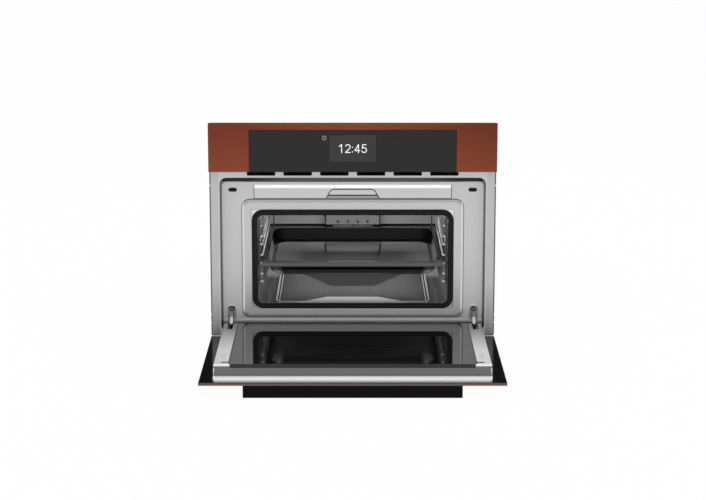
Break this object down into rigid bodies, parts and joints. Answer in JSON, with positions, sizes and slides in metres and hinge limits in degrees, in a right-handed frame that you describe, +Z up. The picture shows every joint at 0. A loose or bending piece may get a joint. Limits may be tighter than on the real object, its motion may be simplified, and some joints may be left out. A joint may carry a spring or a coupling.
{
  "type": "compact steam oven",
  "caption": "Built-in compact steam oven with a glass drop-down door, a clock panel, a water tank drawer, a tray on wire racks and fans.",
  "frame": {"origin": "centre of the casing's underside, halfway between the steel front's face and the rear panel", "axes": "+X to the viewer's right across the front, +Y from the front to the back, +Z up"},
  "size_m": [0.596, 0.894, 0.4864],
  "materials": {
    "front_steel": "satin",
    "polished_steel": "polished",
    "galvanised_steel": "dull galvanised",
    "red_mirror_glass": "mirror-coated, glossy",
    "black_glass": "glossy",
    "door_glass": "clear, glossy",
    "screen": "glossy",
    "black_plastic": "matte",
    "grey_plastic": "matte",
    "clear_plastic": "clear",
    "seal_rubber": "matte",
    "mineral_wool": "fibrous",
    "circuit_board": "solder-resist",
    "rack_chrome": "polished",
    "cast_aluminium": "as cast",
    "motor_metal": "dull"
  },
  "bodies": {
    "oven": {"front_frame": "front_steel", "catch_bush_left": "black_plastic", "catch_bush_right": "black_plastic", "cavity_gasket": "seal_rubber", "cavity_liner": "polished_steel", "insulation": "mineral_wool", "fan_baffle": "polished_steel", "floor_pan": "polished_steel", "side_rack_left": "rack_chrome", "side_rack_right": "rack_chrome", "fascia_glass": "red_mirror_glass", "control_panel_glass": "black_glass", "display_screen": "screen", "display_module": "black_plastic", "fascia_carrier": "black_plastic", "control_board": "circuit_board", "control_housing": "galvanised_steel", "tank_bay": "galvanised_steel", "hinge_arm_left": "galvanised_steel", "hinge_arm_right": "galvanised_steel", "hinge_receiver_left": "galvanised_steel", "hinge_receiver_right": "galvanised_steel", "base_pan": "galvanised_steel", "side_panel_left": "galvanised_steel", "side_panel_right": "galvanised_steel", "rear_panel": "galvanised_steel", "top_cover": "galvanised_steel", "component_shelf": "galvanised_steel", "air_duct": "galvanised_steel", "cooling_fan_housing": "black_plastic", "cooling_fan_motor": "motor_metal", "steam_generator": "cast_aluminium", "steam_pipe": "rack_chrome", "water_pump": "black_plastic", "pressure_hose": "seal_rubber", "power_board": "circuit_board", "mains_inlet": "black_plastic", "ring_heater": "motor_metal", "hot_air_motor": "motor_metal", "lamp_lens": "door_glass", "lamp_housing": "cast_aluminium"},
    "door": {"hinge_cartridge_left": "galvanised_steel", "hinge_cartridge_right": "galvanised_steel", "hinge_pin_left": "rack_chrome", "hinge_pin_right": "rack_chrome", "door_outer_glass": "red_mirror_glass", "door_column_left": "front_steel", "door_column_right": "front_steel", "door_top_trim": "front_steel", "door_bottom_trim": "galvanised_steel", "door_inner_glass": "door_glass", "door_middle_glass": "door_glass", "door_handle": "black_plastic"},
    "water_drawer": {"tank_cover": "front_steel", "water_tank": "clear_plastic", "tank_lid": "clear_plastic"},
    "tray": {"steam_tray": "polished_steel"},
    "hot_air_fan": {"hot_air_impeller": "front_steel"},
    "cooling_fan": {"cooling_fan_impeller": "grey_plastic"}
  },
  "joints": [
    {"name": "door_hinge", "type": "hinge", "parent": "oven", "child": "door", "pos_m": [0, -0.279, 0.007], "axis": [-1, 0, 0], "range_deg": [0, 90]},
    {"name": "water_drawer_slide", "type": "slide", "parent": "oven", "child": "water_drawer", "axis": [0, 1, 0], "range_m": [-0.2, 0]},
    {"name": "tray_slide", "type": "slide", "parent": "oven", "child": "tray", "axis": [0, 1, 0], "range_m": [-0.35, 0]},
    {"name": "hot_air_fan_spin", "type": "hinge", "parent": "oven", "child": "hot_air_fan", "pos_m": [0, 0.14, 0.158], "axis": [0, 1, 0], "continuous": true},
    {"name": "cooling_fan_spin", "type": "hinge", "parent": "oven", "child": "cooling_fan", "pos_m": [0, 0.106, 0.33], "axis": [0, 0, 1], "continuous": true}
  ]
}
